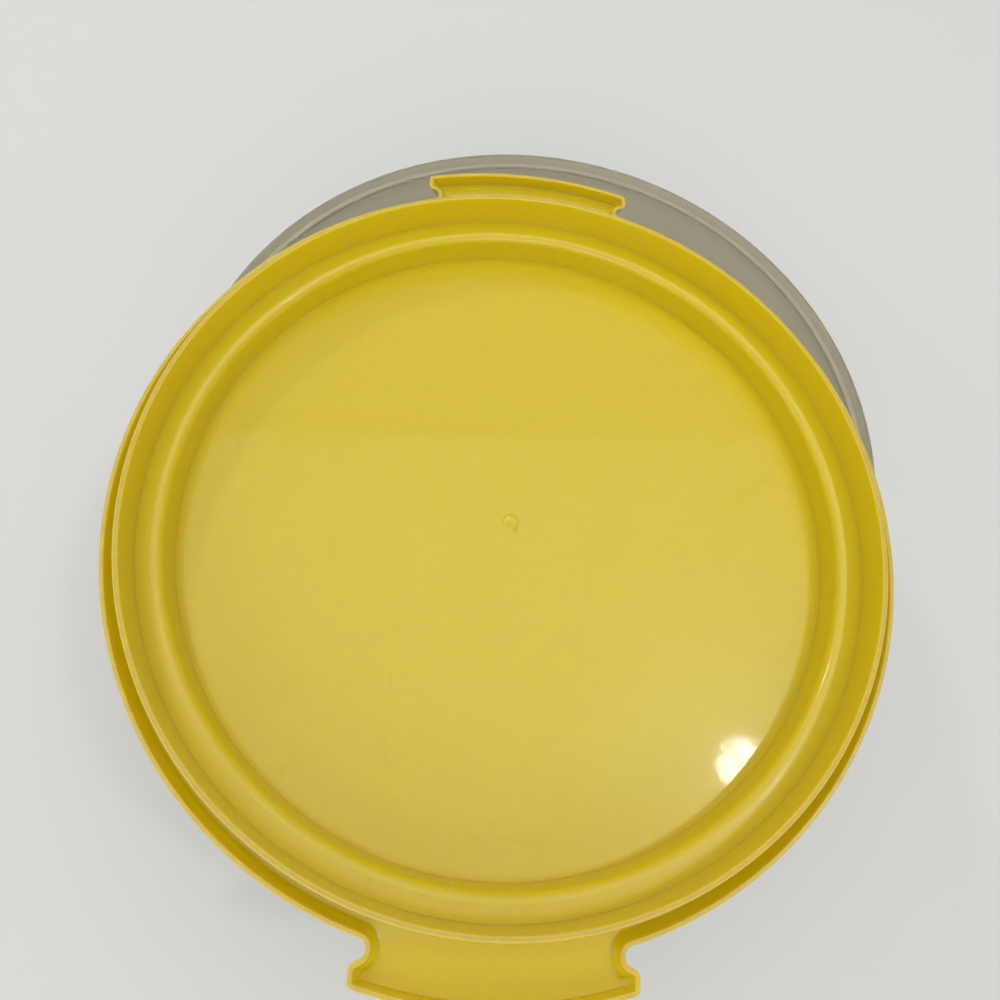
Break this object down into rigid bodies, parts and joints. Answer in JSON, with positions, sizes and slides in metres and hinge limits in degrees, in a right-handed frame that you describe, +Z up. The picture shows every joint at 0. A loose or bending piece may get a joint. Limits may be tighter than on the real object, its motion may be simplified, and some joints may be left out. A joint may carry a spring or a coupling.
{
  "type": "cake carrier",
  "caption": "Round plastic cake carrier: a tray with a raised plate, foot ring and flared grab tabs, lying underside up on the rim of its upturned domed lid.",
  "frame": {"origin": "centre of the lid's flat top, which stands on the surface", "axes": "+Z up, out of the lid's mouth; the tray's grab tabs lie along Y, and -Y is the side to which the tray is pulled forward"},
  "size_m": [0.3329, 0.3847, 0.16],
  "materials": {
    "tray_yellow": "glossy moulded polyethylene, slightly translucent, scuffed along the foot ring",
    "lid_frosted": "frosted translucent polyethylene with a soft sheen"
  },
  "bodies": {
    "lid": {"lid": "lid_frosted"},
    "tray": {"tray": "tray_yellow"}
  },
  "joints": [
    {"name": "tray_lift", "type": "slide", "parent": "lid", "child": "tray", "axis": [0, 0, 1], "range_m": [0, 0.2]}
  ]
}
